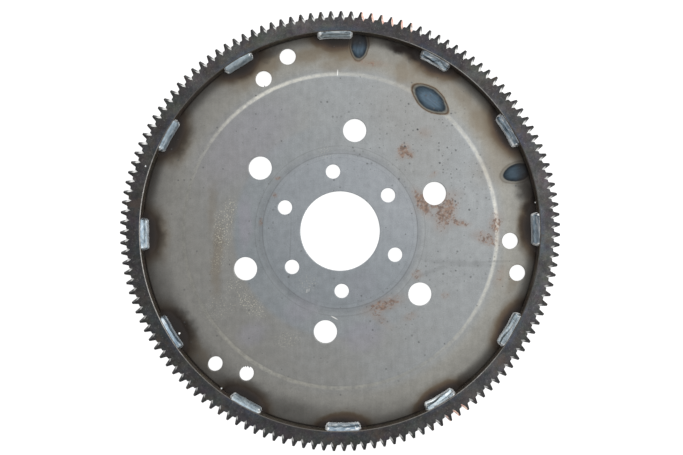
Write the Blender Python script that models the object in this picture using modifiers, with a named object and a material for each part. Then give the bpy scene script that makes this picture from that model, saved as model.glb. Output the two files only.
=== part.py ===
# Flexplate: a stamped steel drive plate with a starter ring gear welded round its rim.
# The engine side faces +Z. The origin is on the axis, level with the lowest face,
# which is the outer face of the balance weight on the transmission side.
import math

import bmesh
import bpy
from mathutils import Matrix, Vector

MM = 0.001

# Fit between pieces that touch
SEAT_GAP = 0.3 * MM

# Ring gear teeth, 10/12 pitch stub form
TOOTH_COUNT = 135
FIRST_TOOTH = math.radians(1.72)
PITCH_DIAMETER = 342.9 * MM
PRESSURE_ANGLE = math.radians(20)

# Tooth proportions, as multiples of the module
ADDENDUM_RATIO = 0.8333
DEDENDUM_RATIO = 1.0417
THICKNESS_RATIO = 1.319  # along the pitch circle
ROOT_FILLET_RATIO = 0.354
TIP_ROUND_RATIO = 0.157

# Lead-in chamfer on the clockwise flank of each tooth, where the starter pinion enters,
# also as multiples of the module
LEAD_WIDTH_RATIO = 0.394
LEAD_DEPTH_RATIO = 0.709
LEAD_RUNOUT_RATIO = 0.276

# Ring gear body
RIM_THICKNESS = 10.8 * MM
RING_WIDTH = 10.8 * MM
SEAT_STEP = 3.3 * MM  # how far the plate's rim reaches under the ring's lip
BORE_CHAMFER = 0.5 * MM

# Stamped plate
PLATE_THICKNESS = 3.0 * MM
PLATE_EDGE_BREAK = 0.4 * MM
EMBOSS_INSET = 32.6 * MM  # from the ring's bore to the middle of the slope
EMBOSS_SLOPE = 3.0 * MM
EMBOSS_HEIGHT = 1.5 * MM
CENTRE_BORE = 63.5 * MM

# Crankshaft bolt holes, one of them shifted so that the plate fits one way only
CRANK_HOLE = 11.5 * MM
CRANK_HOLE_COUNT = 6
CRANK_INSET = 16.2 * MM  # from the centre bore's wall to the hole circle
FIRST_CRANK_HOLE = math.radians(36.76)
SHIFTED_CRANK_HOLE = 4
CRANK_HOLE_SHIFT = math.radians(-5.17)

# Large lightening holes
LARGE_HOLE = 18.6 * MM
LARGE_HOLE_COUNT = 6
LARGE_INSET = 33.4 * MM  # from the crankshaft hole circle to this one
FIRST_LARGE_HOLE = math.radians(21.72)

# Converter bolt holes, three pairs on two circles, one pair of them oval
CONVERTER_HOLE = 13.0 * MM
OVAL_HOLE_LENGTH = 12.6 * MM  # along the radius
OVAL_HOLE_WIDTH = 11.2 * MM
OVAL_PAIR = 2
CONVERTER_PAIR_COUNT = 3
CONVERTER_INSETS = (11.95 * MM, 21.47 * MM)  # from the ring's bore to each hole circle
CONVERTER_ANGLES = (math.radians(-13.27), math.radians(-3.31))

# Weld beads between the ring's bore and the plate
WELD_COUNT = 12
FIRST_WELD = math.radians(0.9)
WELD_LENGTH = 28.3 * MM
WELD_LEG_ON_PLATE = 6.2 * MM
WELD_LEG_ON_RING = 7.2 * MM
WELD_BULGE = 1.0 * MM
# Laid by hand: how far each bead is turned from its even place, and how much longer it is
WELD_TURNS = (-0.3, 0.0, 0.0, 0.6, 0.2, 0.0, 0.0, 0.0, 0.5, 0.0, -0.3, -1.0)
WELD_STRETCHES = (-1.1, 1.4, -1.9, 0.8, -2.2, 0.3, -1.9, 1.9, -0.5, 0.8, -0.8, 2.2)

# Balance weight on the transmission side
WEIGHT_THICKNESS = 4.5 * MM
WEIGHT_INSET = 1.0 * MM  # from the ring's bore to the weight's outer edge
WEIGHT_BREADTH = 24.5 * MM
WEIGHT_CORNER = 4.0 * MM
WEIGHT_MIDDLE = math.radians(51.3)
WEIGHT_SPAN = math.radians(63.4)

# Weld beads that hold the weight
WEIGHT_WELD_LENGTH = 19.0 * MM
WEIGHT_WELD_LEG = 3.6 * MM
WEIGHT_WELD_BULGE = 0.6 * MM
INNER_WELD_ANGLE = math.radians(55.8)

# Mesh fineness
TURN_STEPS = 90
HOLE_SIDES = 24
BEAD_STATIONS = 13
BEAD_FACES = 4
SLOPE_STEPS = 3
BEAD_RIPPLE = 0.035
OVERRUN = 1.0 * MM  # how far a cutter passes the face that it leaves by

# Worked out from the sizes above
MODULE = PITCH_DIAMETER / TOOTH_COUNT
PITCH_RADIUS = PITCH_DIAMETER / 2
TIP_RADIUS = PITCH_RADIUS + ADDENDUM_RATIO * MODULE
ROOT_RADIUS = PITCH_RADIUS - DEDENDUM_RATIO * MODULE
TOOTH_THICKNESS = THICKNESS_RATIO * MODULE
ROOT_FILLET = ROOT_FILLET_RATIO * MODULE
TIP_ROUND = TIP_ROUND_RATIO * MODULE
LEAD_WIDTH = LEAD_WIDTH_RATIO * MODULE
LEAD_DEPTH = LEAD_DEPTH_RATIO * MODULE
LEAD_RUNOUT = LEAD_RUNOUT_RATIO * MODULE
BORE_RADIUS = ROOT_RADIUS - RIM_THICKNESS
SEAT_RADIUS = BORE_RADIUS + SEAT_STEP
PLATE_RADIUS = SEAT_RADIUS - SEAT_GAP
EMBOSS_RADIUS = BORE_RADIUS - EMBOSS_INSET
CRANK_CIRCLE = CENTRE_BORE / 2 + CRANK_INSET
LARGE_CIRCLE = CRANK_CIRCLE + LARGE_INSET
PLATE_BACK = WEIGHT_THICKNESS + SEAT_GAP
PLATE_FRONT = PLATE_BACK + PLATE_THICKNESS
LIP_LEVEL = PLATE_FRONT + SEAT_GAP
RING_FRONT = PLATE_BACK + RING_WIDTH
WEIGHT_OUTER = BORE_RADIUS - WEIGHT_INSET
WEIGHT_INNER = WEIGHT_OUTER - WEIGHT_BREADTH


def clear_scene():
    for old in list(bpy.data.objects):
        bpy.data.objects.remove(old, do_unlink=True)


def new_collection(name, hidden=False):
    collection = bpy.data.collections.new(name)
    bpy.context.scene.collection.children.link(collection)
    collection.hide_render = hidden
    return collection


def steel(name, colour, roughness, metallic):
    material = bpy.data.materials.new(name)
    material.use_nodes = True
    shader = material.node_tree.nodes["Principled BSDF"]
    shader.inputs["Base Color"].default_value = (*colour, 1.0)
    shader.inputs["Roughness"].default_value = roughness
    shader.inputs["Metallic"].default_value = metallic
    return material


def polar(radius, angle, height=0.0):
    return Vector((radius * math.cos(angle), radius * math.sin(angle), height))


def new_object(name, mesh, collection):
    obj = bpy.data.objects.new(name, mesh)
    collection.objects.link(obj)
    return obj


def mesh_from(bm, name):
    mesh = bpy.data.meshes.new(name)
    bmesh.ops.recalc_face_normals(bm, faces=bm.faces)
    bm.to_mesh(mesh)
    bm.free()
    return mesh


def shade(mesh, material):
    mesh.materials.append(material)
    mesh.shade_smooth()
    mesh.set_sharp_from_angle(angle=math.radians(35))


def make_cutter(obj):
    obj.hide_render = True
    obj.display_type = "WIRE"


def cut(obj, cutter, name):
    make_cutter(cutter)
    boolean = obj.modifiers.new(name, "BOOLEAN")
    boolean.operation = "DIFFERENCE"
    boolean.solver = "EXACT"
    boolean.object = cutter


def turned(name, profile, collection, closed):
    # A profile of (radius, height) points, outer side running down, turned about Z
    bm = bmesh.new()
    points = [bm.verts.new((radius, 0.0, height)) for radius, height in profile]
    for start, end in zip(points, points[1:]):
        bm.edges.new((start, end))
    if closed:
        bm.edges.new((points[-1], points[0]))
    mesh = bpy.data.meshes.new(name)
    bm.to_mesh(mesh)
    bm.free()
    obj = new_object(name, mesh, collection)
    screw = obj.modifiers.new("turn", "SCREW")
    screw.axis = "Z"
    screw.angle = 2 * math.pi
    screw.steps = TURN_STEPS
    screw.render_steps = TURN_STEPS
    screw.use_merge_vertices = True
    screw.merge_threshold = 0.00001
    screw.use_smooth_shade = True
    return obj


def extruded(name, outline, thickness, collection):
    # A flat outline, filled and given its thickness, then made a mesh with welded caps
    curve = bpy.data.curves.new(name, "CURVE")
    curve.dimensions = "2D"
    curve.fill_mode = "BOTH"
    curve.extrude = thickness / 2
    spline = curve.splines.new("POLY")
    spline.points.add(len(outline) - 1)
    for point, place in zip(spline.points, outline):
        point.co = (place.x, place.y, 0.0, 1.0)
    spline.use_cyclic_u = True
    guide = new_object(name + "_outline", curve, collection)
    bpy.context.view_layer.update()
    graph = bpy.context.evaluated_depsgraph_get()
    mesh = bpy.data.meshes.new_from_object(guide.evaluated_get(graph))
    bpy.data.objects.remove(guide)
    mesh.name = name
    bm = bmesh.new()
    bm.from_mesh(mesh)
    bmesh.ops.remove_doubles(bm, verts=bm.verts, dist=0.000001)
    bmesh.ops.recalc_face_normals(bm, faces=bm.faces)
    bm.to_mesh(mesh)
    bm.free()
    return new_object(name, mesh, collection)


def involute(angle):
    return math.tan(angle) - angle


def half_tooth_angle(radius):
    # Half the angle that a tooth takes at this radius, with involute flanks
    base_radius = PITCH_RADIUS * math.cos(PRESSURE_ANGLE)
    at_radius = math.acos(base_radius / radius)
    return TOOTH_THICKNESS / PITCH_DIAMETER + involute(PRESSURE_ANGLE) - involute(at_radius)


def rounded_corner(start, corner, end, steps):
    # Points of a round corner that leaves one side at start and joins the other at end
    points = []
    for step in range(steps + 1):
        t = step / steps
        points.append(start * (1 - t) ** 2 + corner * 2 * t * (1 - t) + end * t ** 2)
    return points


def half_tooth(centre, side):
    # One flank from the root circle to the tip, on the side of +1 or -1 of the tooth's centre
    root_angle = half_tooth_angle(ROOT_RADIUS)
    fillet_top = ROOT_RADIUS + ROOT_FILLET
    tip_start = TIP_RADIUS - TIP_ROUND
    tip_angle = half_tooth_angle(TIP_RADIUS)
    fillet = rounded_corner(
        polar(ROOT_RADIUS, centre + side * (root_angle + ROOT_FILLET / ROOT_RADIUS)),
        polar(ROOT_RADIUS, centre + side * root_angle),
        polar(fillet_top, centre + side * half_tooth_angle(fillet_top)),
        2,
    )
    tip = [
        polar(tip_start, centre + side * half_tooth_angle(tip_start)),
        polar(TIP_RADIUS, centre + side * (tip_angle - TIP_ROUND / TIP_RADIUS)),
    ]
    return fillet + tip


def tooth_centres():
    return [FIRST_TOOTH + 2 * math.pi * index / TOOTH_COUNT for index in range(TOOTH_COUNT)]


def gear_outline():
    outline = []
    for centre in tooth_centres():
        outline += half_tooth(centre, -1)
        outline += reversed(half_tooth(centre, 1))
    return outline


def ring_bore_cutter(collection):
    # The bore, its front chamfer and the step at the back that the plate's rim sits in
    over = OVERRUN
    profile = [
        (0.0, RING_FRONT + over),
        (BORE_RADIUS + BORE_CHAMFER + over, RING_FRONT + over),
        (BORE_RADIUS, RING_FRONT - BORE_CHAMFER),
        (BORE_RADIUS, LIP_LEVEL),
        (SEAT_RADIUS, LIP_LEVEL),
        (SEAT_RADIUS, PLATE_BACK - over),
        (0.0, PLATE_BACK - over),
    ]
    return turned("ring_bore_cutter", profile, collection, closed=False)


def lead_in_cutter(collection):
    # A three-sided bar laid along the front edge of each clockwise flank
    slant = math.hypot(LEAD_WIDTH, LEAD_DEPTH)
    bar_radius = (slant / 2 + OVERRUN / 2) * 2 / math.sqrt(3)
    bm = bmesh.new()
    for centre in tooth_centres():
        root = polar(ROOT_RADIUS, centre - half_tooth_angle(ROOT_RADIUS))
        tip = polar(TIP_RADIUS, centre - half_tooth_angle(TIP_RADIUS))
        along = (tip - root).normalized()
        away = Vector((along.y, -along.x, 0.0))
        start = root - along * LEAD_RUNOUT
        end = tip + along * OVERRUN
        lift = (away * LEAD_DEPTH + Vector((0.0, 0.0, LEAD_WIDTH))) / slant
        middle = (start + end) / 2 - away * LEAD_WIDTH / 2 + lift * bar_radius / 2
        middle.z += RING_FRONT - LEAD_DEPTH / 2
        across = lift.cross(along)
        turn = Matrix((across, lift, along)).transposed().to_4x4()
        bmesh.ops.create_cone(
            bm,
            cap_ends=True,
            segments=3,
            radius1=bar_radius,
            radius2=bar_radius,
            depth=(end - start).length,
            matrix=Matrix.Translation(middle) @ turn,
        )
    return new_object("lead_in_cutter", mesh_from(bm, "lead_in_cutter"), collection)


def ring_gear(collection, cutters, material):
    ring = extruded("ring_gear", gear_outline(), RING_WIDTH, collection)
    ring.location.z = PLATE_BACK + RING_WIDTH / 2
    shade(ring.data, material)
    cut(ring, ring_bore_cutter(cutters), "bore")
    cut(ring, lead_in_cutter(cutters), "lead_in")
    return ring


def emboss_rise(fraction):
    # Height of the raised middle at a fraction of the way up its slope
    return EMBOSS_HEIGHT * (1 - math.cos(math.pi * fraction)) / 2


def plate_profile():
    slope_foot = EMBOSS_RADIUS + EMBOSS_SLOPE / 2
    slope = []
    for step in range(SLOPE_STEPS + 1):
        fraction = step / SLOPE_STEPS
        slope.append((slope_foot - EMBOSS_SLOPE * fraction, emboss_rise(fraction)))
    bore = CENTRE_BORE / 2
    edge = PLATE_EDGE_BREAK
    top = [(bore, PLATE_FRONT + EMBOSS_HEIGHT)]
    top += [(radius, PLATE_FRONT + rise) for radius, rise in reversed(slope)]
    rim = [
        (PLATE_RADIUS - edge, PLATE_FRONT),
        (PLATE_RADIUS, PLATE_FRONT - edge),
        (PLATE_RADIUS, PLATE_BACK + edge),
        (PLATE_RADIUS - edge, PLATE_BACK),
    ]
    under = [(radius, PLATE_BACK + rise) for radius, rise in slope]
    under.append((bore, PLATE_BACK + EMBOSS_HEIGHT))
    return top + rim + under


def crank_hole_places():
    places = []
    for index in range(CRANK_HOLE_COUNT):
        angle = FIRST_CRANK_HOLE + 2 * math.pi * index / CRANK_HOLE_COUNT
        if index == SHIFTED_CRANK_HOLE:
            angle += CRANK_HOLE_SHIFT
        places.append(polar(CRANK_CIRCLE, angle))
    return places


def large_hole_places():
    turn = 2 * math.pi / LARGE_HOLE_COUNT
    return [polar(LARGE_CIRCLE, FIRST_LARGE_HOLE + turn * index) for index in range(LARGE_HOLE_COUNT)]


def converter_holes():
    # The place of each hole, and its size along the radius and across it
    turn = 2 * math.pi / CONVERTER_PAIR_COUNT
    holes = []
    for inset, angle in zip(CONVERTER_INSETS, CONVERTER_ANGLES):
        for index in range(CONVERTER_PAIR_COUNT):
            place = polar(BORE_RADIUS - inset, angle + turn * index)
            if index == OVAL_PAIR:
                holes.append((place, OVAL_HOLE_LENGTH, OVAL_HOLE_WIDTH))
            else:
                holes.append((place, CONVERTER_HOLE, CONVERTER_HOLE))
    return holes


def plate_hole_cutter(collection):
    holes = [(place, CRANK_HOLE, CRANK_HOLE) for place in crank_hole_places()]
    holes += [(place, LARGE_HOLE, LARGE_HOLE) for place in large_hole_places()]
    holes += converter_holes()
    low = PLATE_BACK - OVERRUN
    high = PLATE_FRONT + EMBOSS_HEIGHT + OVERRUN
    bm = bmesh.new()
    for place, length, width in holes:
        turn = Matrix.Rotation(math.atan2(place.y, place.x), 4, "Z")
        narrowing = Matrix.Scale(width / length, 4, (0, 1, 0))
        bmesh.ops.create_cone(
            bm,
            cap_ends=True,
            segments=HOLE_SIDES,
            radius1=length / 2,
            radius2=length / 2,
            depth=high - low,
            matrix=Matrix.Translation((place.x, place.y, (low + high) / 2)) @ turn @ narrowing,
        )
    return new_object("plate_hole_cutter", mesh_from(bm, "plate_hole_cutter"), collection)


def plate(collection, cutters, material):
    disc = turned("plate", plate_profile(), collection, closed=True)
    disc.data.materials.append(material)
    cut(disc, plate_hole_cutter(cutters), "holes")
    return disc


def bead_swell(fraction):
    # Size of a bead's section along its length: full in the middle, drawn in at both ends
    end_size = 0.4
    across = abs(2 * fraction - 1)
    return end_size + (1 - end_size) * math.sqrt(max(0.0, 1 - across ** 6))


def weld_bead(name, root_at, length, legs, bulge, collection, material):
    # A fillet bead lofted along the corner of a joint. root_at gives, for a distance along
    # the joint from the bead's middle, the corner point and the directions of the two walls.
    bm = bmesh.new()
    rows = []
    for station in range(BEAD_STATIONS):
        fraction = station / (BEAD_STATIONS - 1)
        corner, out, up = root_at(length * (fraction - 0.5))
        size = bead_swell(fraction) * (1 + BEAD_RIPPLE * math.cos(math.pi * station))
        row = [corner]
        for step in range(BEAD_FACES + 1):
            t = step / BEAD_FACES
            swell = (out + up) * (bulge * 4 * t * (1 - t) / math.sqrt(2))
            row.append(corner + (out * legs[0] * (1 - t) + up * legs[1] * t + swell) * size)
        rows.append([bm.verts.new(point) for point in row])
    for near, far in zip(rows, rows[1:]):
        for index in range(len(near)):
            following = (index + 1) % len(near)
            bm.faces.new((near[index], near[following], far[following], far[index]))
    bm.faces.new(rows[0])
    bm.faces.new(rows[-1])
    bead = new_object(name, mesh_from(bm, name), collection)
    shade(bead.data, material)
    return bead


def ring_welds(collection, material):
    wall = BORE_RADIUS - SEAT_GAP

    def root_at(distance):
        angle = distance / wall
        return polar(wall, angle, PLATE_FRONT + SEAT_GAP), -polar(1.0, angle), Vector((0, 0, 1))

    for index in range(WELD_COUNT):
        bead = weld_bead(
            f"ring_weld_{index + 1:02d}",
            root_at,
            WELD_LENGTH + WELD_STRETCHES[index] * MM,
            (WELD_LEG_ON_PLATE, WELD_LEG_ON_RING),
            WELD_BULGE,
            collection,
            material,
        )
        even_turn = FIRST_WELD + 2 * math.pi * index / WELD_COUNT
        bead.rotation_euler.z = even_turn + math.radians(WELD_TURNS[index])


def weight_outline():
    steps = 24
    start = WEIGHT_MIDDLE - WEIGHT_SPAN / 2
    angles = [start + WEIGHT_SPAN * step / steps for step in range(steps + 1)]
    outer = [polar(WEIGHT_OUTER, angle) for angle in angles]
    inner = [polar(WEIGHT_INNER, angle) for angle in reversed(angles)]
    return outer + inner


def balance_weight(collection, material):
    weight = extruded("balance_weight", weight_outline(), WEIGHT_THICKNESS, collection)
    weight.location.z = WEIGHT_THICKNESS / 2
    bm = bmesh.new()
    bm.from_mesh(weight.data)
    ends = (WEIGHT_MIDDLE - WEIGHT_SPAN / 2, WEIGHT_MIDDLE + WEIGHT_SPAN / 2)
    corners = [polar(radius, angle) for radius in (WEIGHT_INNER, WEIGHT_OUTER) for angle in ends]
    upright = []
    for edge in bm.edges:
        run = edge.verts[0].co - edge.verts[1].co
        foot = edge.verts[0].co.to_2d()
        at_corner = any((foot - corner.to_2d()).length < 0.01 * MM for corner in corners)
        if at_corner and abs(run.z) > WEIGHT_THICKNESS / 2:
            upright.append(edge)
    bmesh.ops.bevel(bm, geom=upright, offset=WEIGHT_CORNER, segments=4, profile=0.5, affect="EDGES")
    bm.to_mesh(weight.data)
    bm.free()
    shade(weight.data, material)
    return weight


def end_weld_root(angle, side):
    # Corner between the weight's end face and the plate, running outwards along the end
    out = polar(1.0, angle + side * math.pi / 2)
    middle = polar((WEIGHT_INNER + WEIGHT_OUTER) / 2, angle, WEIGHT_THICKNESS) + out * SEAT_GAP

    def root_at(distance):
        return middle + polar(distance, angle), out, Vector((0, 0, -1))

    return root_at


def inner_weld_root(distance):
    # Corner between the weight's inner edge and the plate
    wall = WEIGHT_INNER - SEAT_GAP
    angle = INNER_WELD_ANGLE + distance / wall
    return polar(wall, angle, WEIGHT_THICKNESS), -polar(1.0, angle), Vector((0, 0, -1))


def weight_welds(collection, material):
    half_span = WEIGHT_SPAN / 2
    straight_end = min(WEIGHT_WELD_LENGTH, WEIGHT_BREADTH - 2 * WEIGHT_CORNER)
    beads = (
        ("weight_weld_1", end_weld_root(WEIGHT_MIDDLE - half_span, -1), straight_end),
        ("weight_weld_2", inner_weld_root, WEIGHT_WELD_LENGTH),
        ("weight_weld_3", end_weld_root(WEIGHT_MIDDLE + half_span, 1), straight_end),
    )
    legs = (WEIGHT_WELD_LEG, WEIGHT_WELD_LEG)
    for name, root_at, length in beads:
        weld_bead(name, root_at, length, legs, WEIGHT_WELD_BULGE, collection, material)


def build():
    clear_scene()
    pieces = new_collection("flexplate")
    cutters = new_collection("cutters", hidden=True)
    plate(pieces, cutters, steel("plate_steel", (0.26, 0.25, 0.22), 0.45, 0.85))
    ring_gear(pieces, cutters, steel("ring_steel", (0.07, 0.07, 0.07), 0.5, 0.7))
    weld_metal = steel("weld_metal", (0.45, 0.52, 0.58), 0.3, 0.9)
    ring_welds(pieces, weld_metal)
    balance_weight(pieces, steel("weight_steel", (0.16, 0.16, 0.16), 0.5, 0.8))
    weight_welds(pieces, weld_metal)


build()
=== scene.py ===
import math

import bmesh
import bpy
from mathutils import Matrix, Vector, noise


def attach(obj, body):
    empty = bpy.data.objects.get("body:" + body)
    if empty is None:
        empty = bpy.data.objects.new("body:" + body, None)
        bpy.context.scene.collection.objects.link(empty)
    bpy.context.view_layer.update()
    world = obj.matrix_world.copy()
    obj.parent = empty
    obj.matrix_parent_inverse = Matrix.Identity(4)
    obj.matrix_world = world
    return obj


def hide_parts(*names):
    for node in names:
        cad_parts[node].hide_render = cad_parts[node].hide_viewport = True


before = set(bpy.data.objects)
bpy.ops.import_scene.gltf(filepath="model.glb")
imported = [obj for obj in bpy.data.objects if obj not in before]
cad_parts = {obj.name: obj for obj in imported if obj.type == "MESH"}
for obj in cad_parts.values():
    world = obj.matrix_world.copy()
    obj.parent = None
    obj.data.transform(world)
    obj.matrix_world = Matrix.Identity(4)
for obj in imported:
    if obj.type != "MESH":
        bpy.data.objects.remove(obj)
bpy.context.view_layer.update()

scene = bpy.context.scene
mm = 0.001
fullTurn = 2 * math.pi
print("Frame loaded:", len(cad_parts), "nodes")


# Small helpers for meshes

def polar(radius, degrees, height=0.0):
    angle = math.radians(degrees)
    return Vector((radius * math.cos(angle), radius * math.sin(angle), height)) * mm


def radiusOf(vert):
    return math.hypot(vert.co.x, vert.co.y) / mm


def near(value, target, slack=0.004):
    return abs(value - target) < slack


def spunSection(section, steps, closed=True):
    # Turns a section of (radius, height) points once round the axis
    bm = bmesh.new()
    verts = [bm.verts.new((radius * mm, 0, height * mm)) for radius, height in section]
    pairs = zip(verts, verts[1:] + verts[:1]) if closed else zip(verts, verts[1:])
    edges = [bm.edges.new(pair) for pair in pairs]
    bmesh.ops.spin(bm, geom=verts + edges, cent=(0, 0, 0), axis=(0, 0, 1), angle=fullTurn,
                   steps=steps, use_merge=True)
    cleaned(bm)
    return bm


def cleaned(bm, distance=0.002):
    bmesh.ops.remove_doubles(bm, verts=bm.verts, dist=distance * mm)
    bmesh.ops.recalc_face_normals(bm, faces=bm.faces)


def meshOf(bm, name):
    # A mesh made from a bmesh, which is used up
    mesh = bpy.data.meshes.new(name)
    bm.to_mesh(mesh)
    bm.free()
    return mesh


def placed(name, data):
    # A new object in the scene
    thing = bpy.data.objects.new(name, data)
    scene.collection.objects.link(thing)
    return thing


def turnRound(bm, degrees):
    turn = Matrix.Rotation(math.radians(degrees), 3, "Z")
    bmesh.ops.rotate(bm, verts=bm.verts, cent=(0, 0, 0), matrix=turn)


def wholeOf(bm):
    return bm.verts[:] + bm.edges[:] + bm.faces[:]


def circleEdges(bm, radius, height):
    # The edges that run round the axis at one radius and height
    found = []
    for edge in bm.edges:
        if all(near(radiusOf(vert), radius) and near(vert.co.z / mm, height) for vert in edge.verts):
            found.append(edge)
    return found


def rounded(bm, edges, offset, segments):
    bmesh.ops.bevel(bm, geom=edges, offset=offset * mm, offset_type="OFFSET", segments=segments,
                    profile=0.5, affect="EDGES", clamp_overlap=True, material=-1)


def cutAway(bm, tool):
    # Boolean difference of two bmeshes, which are used up
    bodies = []
    for part, label in ((bm, "cutBody"), (tool, "cutTool")):
        cleaned(part)
        bodies.append(placed(label, meshOf(part, label)))
    cut = bodies[0].modifiers.new("cut", "BOOLEAN")
    cut.operation = "DIFFERENCE"
    cut.solver = "EXACT"
    cut.object = bodies[1]
    result = bmesh.new()
    result.from_object(bodies[0], bpy.context.evaluated_depsgraph_get())
    for body in bodies:
        mesh = body.data
        bpy.data.objects.remove(body)
        bpy.data.meshes.remove(mesh)
    return result


def shadeByAngle(bm, degrees):
    # Flat faces stay flat, so that they don't pick up the slope of a rounded edge
    for face in bm.faces:
        face.smooth = abs(face.normal.z) < 0.99995
    for edge in bm.edges:
        edge.smooth = len(edge.link_faces) == 2 and edge.calc_face_angle(math.pi) < math.radians(degrees)


def finishedPiece(bm, name, materials, replaced, shadeAngle=35):
    bm.normal_update()
    shadeByAngle(bm, shadeAngle)
    mesh = meshOf(bm, name)
    for material in materials:
        mesh.materials.append(material)
    piece = placed(name, mesh)
    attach(piece, "root")
    if replaced:
        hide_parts(*replaced)
    return piece


# Small helpers for nodes

def paint(red, green, blue):
    # A colour as the screen shows it, 0 to 255, as Blender's own linear colour
    linear = []
    for channel in (red, green, blue):
        share = channel / 255
        linear.append(share / 12.92 if share <= 0.04045 else ((share + 0.055) / 1.055) ** 2.4)
    return (*linear, 1.0)


class NodeValue:
    # What a node gives out. Arithmetic on it adds the nodes that work it out
    def __init__(self, node, output=0):
        self.socket = node.outputs[output]
        self.node = node
        self.tree = node.id_data

    def __add__(self, other):
        return calc("ADD", self, other)

    def __sub__(self, other):
        return calc("SUBTRACT", self, other)

    def __rsub__(self, other):
        return calc("SUBTRACT", other, self)

    def __mul__(self, other):
        return calc("MULTIPLY", self, other)

    def __truediv__(self, other):
        return calc("DIVIDE", self, other)

    def __abs__(self):
        return calc("ABSOLUTE", self)


def feed(socket, value):
    if isinstance(value, NodeValue):
        value.tree.links.new(value.socket, socket)
    else:
        socket.default_value = value


def addNode(tree, kind, inputs=None, **settings):
    node = tree.nodes.new(kind)
    for key, value in settings.items():
        setattr(node, key, value)
    for key, value in (inputs or {}).items():
        feed(node.inputs[key], value)
    return node


def derived(kind, inputs, output=0, **settings):
    # One output of a new node, in the tree of the values that feed it
    tree = next(value.tree for value in inputs.values() if isinstance(value, NodeValue))
    return NodeValue(addNode(tree, kind, inputs, **settings), output)


def outputsOf(value):
    # Every output of the node that a value comes from
    return [NodeValue(value.node, index) for index in range(len(value.node.outputs))]


def flatPlace(vector):
    # The X and Y of a vector
    return outputsOf(derived("ShaderNodeSeparateXYZ", {"Vector": vector}))[:2]


def calc(operation, *values):
    return derived("ShaderNodeMath", dict(enumerate(values)), operation=operation)


def larger(first, second):
    return calc("MAXIMUM", first, second)


def vectorCalc(operation, *values):
    output = "Value" if operation == "DOT_PRODUCT" else "Vector"
    return derived("ShaderNodeVectorMath", dict(enumerate(values)), output, operation=operation)


def scaled(vector, amount):
    return vectorCalc("MULTIPLY", vector, (amount,) * 3)


def directionOf(degrees, elevation):
    angle, rise = math.radians(degrees), math.radians(elevation)
    return (math.cos(angle) * math.cos(rise), math.sin(angle) * math.cos(rise), math.sin(rise))


def towards(position, degrees, elevation=0):
    # How far a place lies to one side
    return vectorCalc("DOT_PRODUCT", position, directionOf(degrees, elevation))


def turnedBack(position, angle):
    return derived("ShaderNodeVectorRotate", {"Vector": position, "Angle": angle}, rotation_type="Z_AXIS")


def remap(value, low, high, lowOut=0.0, highOut=1.0):
    inputs = dict(enumerate((value, low, high, lowOut, highOut)))
    return derived("ShaderNodeMapRange", inputs, interpolation_type="SMOOTHSTEP")


def mixColours(factor, first, second, mode="MIX"):
    inputs = {0: factor, 6: first, 7: second}  # the colour sockets of the Mix node
    return derived("ShaderNodeMix", inputs, 2, data_type="RGBA", blend_type=mode, clamp_factor=True)


def shaded(colour, shade):
    return mixColours(1.0, colour, shade, "MULTIPLY")


def clouds(position, scale, detail=3.0, roughness=0.5, distortion=0.0, output="Fac"):
    return derived("ShaderNodeTexNoise", {
        "Vector": position, "Scale": scale, "Detail": detail, "Roughness": roughness,
        "Distortion": distortion}, output)


def rampOf(value, stops):
    tint = derived("ShaderNodeValToRGB", {"Fac": value})
    elements = tint.node.color_ramp.elements
    while len(elements) < len(stops):
        elements.new(0.5)
    for element, (place, colour) in zip(elements, stops):
        element.position = place
    for element, (place, colour) in zip(elements, stops):
        element.color = colour if isinstance(colour, tuple) else (colour, colour, colour, 1.0)
    return tint


def byAngle(angle, levels):
    # A level that changes round the part, in shares of a turn from the photograph's left anticlockwise
    return derived("ShaderNodeSeparateColor", {"Color": rampOf((angle + 180.0) / 360.0, levels)}, "Red")


def newGroup(name, inputs, outputs):
    group = bpy.data.node_groups.new(name, "ShaderNodeTree")
    for label, default in inputs.items():
        kind = "NodeSocketFloat" if isinstance(default, float) else "NodeSocketVector"
        socket = group.interface.new_socket(label, in_out="INPUT", socket_type=kind)
        socket.default_value = default
    for label in outputs:
        group.interface.new_socket(label, in_out="OUTPUT", socket_type="NodeSocketFloat")
    source = addNode(group, "NodeGroupInput")
    given = [NodeValue(source, label) for label in inputs]
    return group, given, addNode(group, "NodeGroupOutput").inputs


def useGroup(group, *values):
    # The group's outputs, from values for its inputs in their order
    return outputsOf(derived("ShaderNodeGroup", dict(enumerate(values)), node_tree=group))


def newMaterial(name, roughness, metallic):
    # The material, its shader's inputs, and the place in millimetres from the middle of the part
    material = bpy.data.materials.new(name)
    material.use_nodes = True
    inputs = material.node_tree.nodes["Principled BSDF"].inputs
    inputs["Roughness"].default_value = roughness
    inputs["Metallic"].default_value = metallic
    coordinates = NodeValue(addNode(material.node_tree, "ShaderNodeTexCoord"), "Object")
    return material, inputs, scaled(coordinates, 1 / mm)


def bumpFrom(inputs, height, distance):
    bump = {"Height": height, "Distance": distance * mm, "Strength": 1.0}
    feed(inputs["Normal"], derived("ShaderNodeBump", bump))


# Camera, floor, world and lamps

stage = {
    "cameraPlace": (0.00115, 0.00285, 0.5256),
    "lens": 34.1,
    "sensorWidth": 36.0,
    "floorSize": 16.0, "floorLevel": -0.0002,
    "floorWhite": 0.92,  # light of the floor's own for the camera, the rest comes from the lamps
    "floorShown": (0.28, 0.28, 0.28, 1),  # what the floor adds to that by reflection
    "floorHidden": (0.8, 0.8, 0.8, 1),  # the floor as it lights the part
    "worldLevel": 0.93,
    "worldLean": 0.85,  # how much brighter the sky gets towards the bright side
    "worldRange": (0.84, 1.8),
    "brightSide": 37.0,  # degrees
    "lobes": ((8.0, 0.8), (118.0, 0.95)),  # brighter patches low in the sky: direction and level
    "lobeRise": 20.0,
    "lampPlace": (0.55, 0.35, 1.3),
    "lampSize": 0.8,
    "lampWatts": 1.2,
}


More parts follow.
